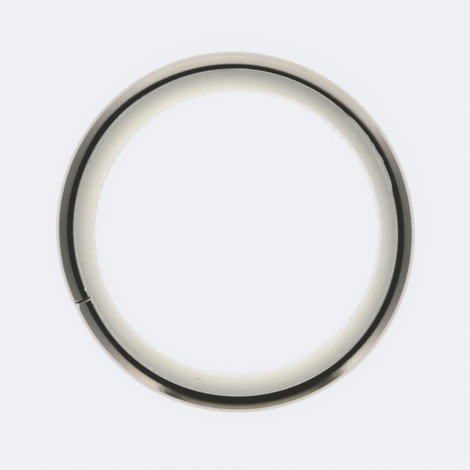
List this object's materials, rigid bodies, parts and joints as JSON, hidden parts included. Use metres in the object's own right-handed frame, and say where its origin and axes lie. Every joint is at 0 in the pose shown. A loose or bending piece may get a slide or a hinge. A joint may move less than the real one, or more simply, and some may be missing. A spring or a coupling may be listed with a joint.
{
  "type": "curtain ring",
  "caption": "Lined curtain ring: a half-round nickel-coloured metal channel, butt-jointed, closed round a cream plastic liner that slides on a curtain pole.",
  "frame": {"origin": "middle of the bore, on its axis, halfway through the ring's thickness", "axes": "+Z along the bore, which is the pole's direction; +X and +Y across the ring, with the joint at 204 degrees from +X"},
  "size_m": [0.0449, 0.0452, 0.004],
  "materials": {
    "nickel_strip": "satin-polished nickel plate with fine lines along the strip",
    "liner_plastic": "cream-white, slightly translucent moulded plastic, satin"
  },
  "bodies": {
    "root": {"metal_shell": "nickel_strip", "plastic_liner": "liner_plastic"}
  },
  "joints": []
}
